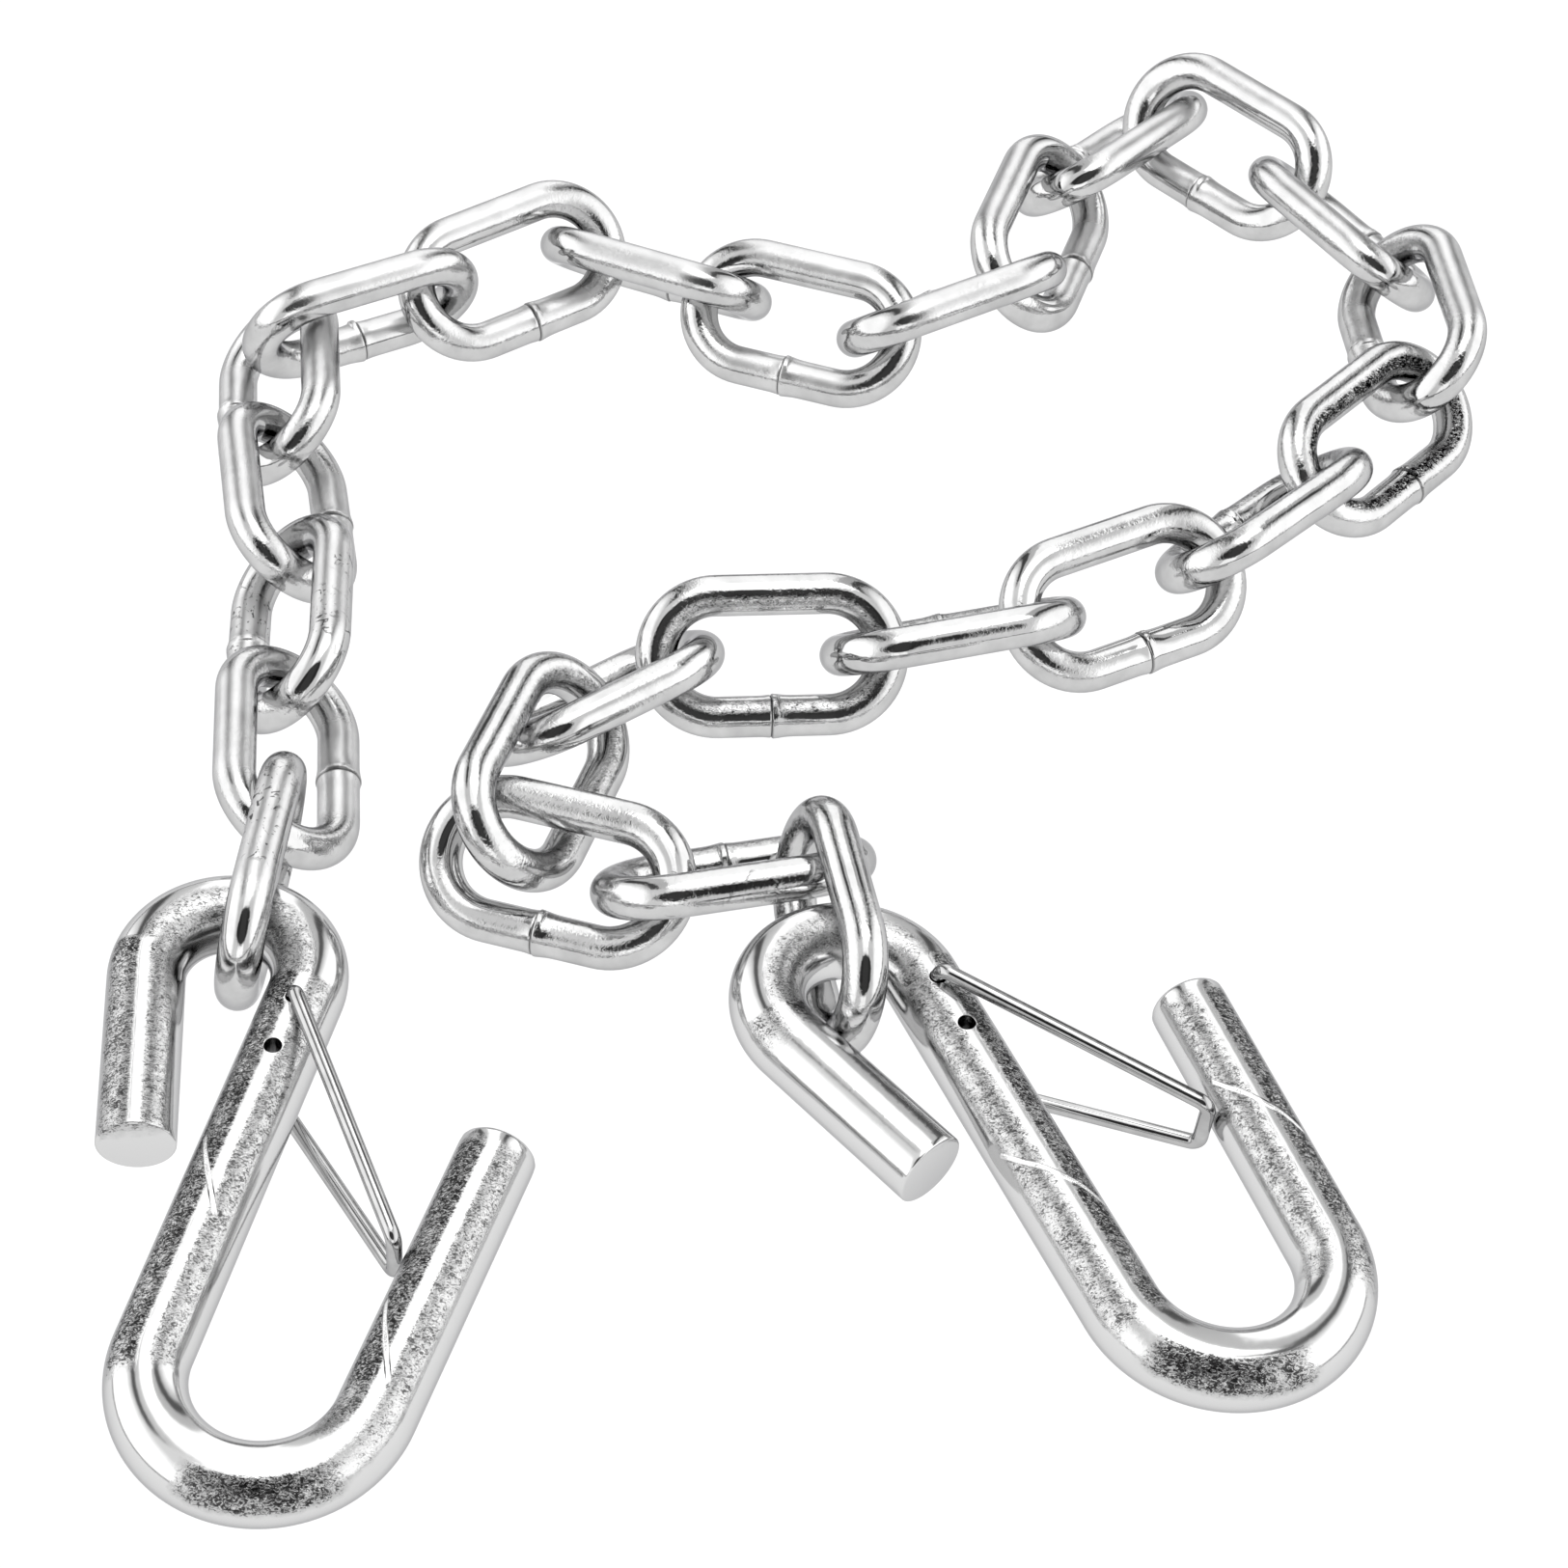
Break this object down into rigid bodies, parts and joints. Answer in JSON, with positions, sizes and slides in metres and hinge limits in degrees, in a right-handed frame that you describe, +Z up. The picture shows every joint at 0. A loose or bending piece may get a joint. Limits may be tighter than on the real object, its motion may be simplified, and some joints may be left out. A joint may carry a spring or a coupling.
{
  "type": "safety chain hook",
  "caption": "Trailer safety chain of welded round-wire links with a spring-latched S-hook at each end, lying in loose curves.",
  "frame": {"origin": "centre of the bounding box in plan, on the surface the chain lies on", "axes": "+Y along the longest side, from the hooks towards the chain's far loop; +X to the right; +Z up"},
  "size_m": [0.2296, 0.3226, 0.0285],
  "materials": {
    "link_zinc": "bright zinc plate, smooth",
    "hook_zinc": "bright zinc plate over forged bar, slightly mottled",
    "latch_steel": "plated spring wire"
  },
  "bodies": {
    "link_01": {"link_01": "link_zinc"},
    "link_02": {"link_02": "link_zinc"},
    "link_03": {"link_03": "link_zinc"},
    "link_04": {"link_04": "link_zinc"},
    "link_05": {"link_05": "link_zinc"},
    "link_06": {"link_06": "link_zinc"},
    "link_07": {"link_07": "link_zinc"},
    "link_08": {"link_08": "link_zinc"},
    "link_09": {"link_09": "link_zinc"},
    "link_10": {"link_10": "link_zinc"},
    "link_11": {"link_11": "link_zinc"},
    "link_12": {"link_12": "link_zinc"},
    "link_13": {"link_13": "link_zinc"},
    "link_14": {"link_14": "link_zinc"},
    "link_15": {"link_15": "link_zinc"},
    "link_16": {"link_16": "link_zinc"},
    "link_17": {"link_17": "link_zinc"},
    "link_18": {"link_18": "link_zinc"},
    "link_19": {"link_19": "link_zinc"},
    "link_20": {"link_20": "link_zinc"},
    "link_21": {"link_21": "link_zinc"},
    "link_22": {"link_22": "link_zinc"},
    "link_23": {"link_23": "link_zinc"},
    "link_24": {"link_24": "link_zinc"},
    "link_25": {"link_25": "link_zinc"},
    "hook_left": {"hook_left": "hook_zinc"},
    "hook_right": {"hook_right": "hook_zinc"},
    "latch_left": {"latch_left": "latch_steel"},
    "latch_right": {"latch_right": "latch_steel"}
  },
  "joints": [
    {"name": "link_12_swing", "type": "hinge", "parent": "link_13", "child": "link_12", "pos_m": [0.05988, 0.15069, 0.01767], "axis": [-0.4512, -0.4021, -0.7967], "range_deg": [0, 60]},
    {"name": "link_11_swing", "type": "hinge", "parent": "link_12", "child": "link_11", "pos_m": [0.03882, 0.12863, 0.01106], "axis": [0.5417, -0.5417, 0.6428], "range_deg": [-60, 50]},
    {"name": "link_10_swing", "type": "hinge", "parent": "link_11", "child": "link_10", "pos_m": [0.03127, 0.09749, 0.01161], "axis": [-0.6532, 0.1979, 0.7309], "range_deg": [-60, 60]},
    {"name": "link_09_swing", "type": "hinge", "parent": "link_10", "child": "link_09", "pos_m": [0.00275, 0.08507, 0.01211], "axis": [-0.3108, 0.6624, -0.6816], "range_deg": [-60, 40]},
    {"name": "link_08_swing", "type": "hinge", "parent": "link_09", "child": "link_08", "pos_m": [-0.01708, 0.09699, 0.01121], "axis": [0.2876, 0.646, -0.7071], "range_deg": [0, 60]},
    {"name": "link_07_swing", "type": "hinge", "parent": "link_08", "child": "link_07", "pos_m": [-0.0527, 0.11285, 0.01121], "axis": [0.2876, 0.646, -0.7071], "range_deg": [0, 45]},
    {"name": "link_06_swing", "type": "hinge", "parent": "link_07", "child": "link_06", "pos_m": [-0.07792, 0.09309, 0.01278], "axis": [0.3722, -0.5716, -0.7312], "range_deg": [0, 35]},
    {"name": "link_05_swing", "type": "hinge", "parent": "link_06", "child": "link_05", "pos_m": [-0.10576, 0.08007, 0.01496], "axis": [0.7826, 0.0931, 0.6156], "range_deg": [0, 50]},
    {"name": "link_04_swing", "type": "hinge", "parent": "link_05", "child": "link_04", "pos_m": [-0.10035, 0.05353, 0.01078], "axis": [-0.7826, -0.0931, -0.6156], "range_deg": [-60, 60]},
    {"name": "link_03_swing", "type": "hinge", "parent": "link_04", "child": "link_03", "pos_m": [-0.0945, 0.02272, 0.01071], "axis": [-0.6964, -0.1228, 0.7071], "range_deg": [-60, 60]},
    {"name": "link_02_swing", "type": "hinge", "parent": "link_03", "child": "link_02", "pos_m": [-0.09337, -0.00855, 0.01119], "axis": [0.7537, 0.0395, 0.6561], "range_deg": [-60, 60]},
    {"name": "link_01_swing", "type": "hinge", "parent": "link_02", "child": "link_01", "pos_m": [-0.09019, -0.0395, 0.0112], "axis": [0.7528, 0.0544, -0.656], "range_deg": [0, 30]},
    {"name": "hook_left_swing", "type": "hinge", "parent": "link_01", "child": "hook_left", "pos_m": [-0.09459, -0.069, 0.01355], "axis": [0.0643, -0.065, 0.9958], "range_deg": [-60, 35]},
    {"name": "link_14_swing", "type": "hinge", "parent": "link_13", "child": "link_14", "pos_m": [0.08834, 0.12416, 0.01495], "axis": [0.4512, 0.4021, 0.7967], "range_deg": [0, 60]},
    {"name": "link_15_swing", "type": "hinge", "parent": "link_14", "child": "link_15", "pos_m": [0.10191, 0.10534, 0.01466], "axis": [-0.6909, -0.0731, -0.7192], "range_deg": [-60, 30]},
    {"name": "link_16_swing", "type": "hinge", "parent": "link_15", "child": "link_16", "pos_m": [0.10531, 0.0665, 0.01534], "axis": [-0.6909, -0.0731, -0.7192], "range_deg": [-60, 5]},
    {"name": "link_17_swing", "type": "hinge", "parent": "link_16", "child": "link_17", "pos_m": [0.08131, 0.04416, 0.01128], "axis": [-0.569, 0.5453, 0.6156], "range_deg": [-60, 60]},
    {"name": "link_18_swing", "type": "hinge", "parent": "link_17", "child": "link_18", "pos_m": [0.05812, 0.02337, 0.01104], "axis": [-0.464, 0.5337, -0.707], "range_deg": [-40, 40]},
    {"name": "link_19_swing", "type": "hinge", "parent": "link_18", "child": "link_19", "pos_m": [0.03653, 0.01314, 0.01046], "axis": [-0.1769, 0.7096, -0.682], "range_deg": [-60, 60]},
    {"name": "link_20_swing", "type": "hinge", "parent": "link_19", "child": "link_20", "pos_m": [-0.00131, 0.0037, 0.01046], "axis": [-0.1769, 0.7096, -0.682], "range_deg": [-60, 60]},
    {"name": "link_21_swing", "type": "hinge", "parent": "link_20", "child": "link_21", "pos_m": [-0.02542, 0.00561, 0.00978], "axis": [0.452, -0.6455, 0.6157], "range_deg": [-60, 40]},
    {"name": "link_22_swing", "type": "hinge", "parent": "link_21", "child": "link_22", "pos_m": [-0.04387, -0.00754, 0.0134], "axis": [-0.6324, 0.2191, 0.743], "range_deg": [-5, 20]},
    {"name": "link_23_swing", "type": "hinge", "parent": "link_22", "child": "link_23", "pos_m": [-0.05591, -0.04462, 0.01408], "axis": [-0.2501, -0.8006, -0.5446], "range_deg": [0, 50]},
    {"name": "link_24_swing", "type": "hinge", "parent": "link_23", "child": "link_24", "pos_m": [-0.02835, -0.0501, 0.00956], "axis": [0.2501, 0.8006, 0.5446], "range_deg": [-35, 30]},
    {"name": "link_25_swing", "type": "hinge", "parent": "link_24", "child": "link_25", "pos_m": [-0.00761, -0.03994, 0.01325], "axis": [0.287, 0.0558, 0.9563], "range_deg": [-10, 15]},
    {"name": "hook_right_swing", "type": "hinge", "parent": "link_25", "child": "hook_right", "pos_m": [-0.00017, -0.07822, 0.01325], "axis": [-0.0909, 0.0097, -0.9958], "range_deg": [-40, 40]},
    {"name": "latch_left_hinge", "type": "hinge", "parent": "hook_left", "child": "latch_left", "pos_m": [-0.08515, -0.07627, 0.01153], "axis": [-0.0643, 0.065, -0.9958], "range_deg": [0, 22], "stiffness_Nm_per_rad": 1, "springref_deg": -11.46},
    {"name": "latch_right_hinge", "type": "hinge", "parent": "hook_right", "child": "latch_right", "pos_m": [0.01197, -0.07276, 0.01153], "axis": [-0.0909, 0.0097, -0.9958], "range_deg": [0, 22], "stiffness_Nm_per_rad": 1, "springref_deg": -11.46}
  ]
}
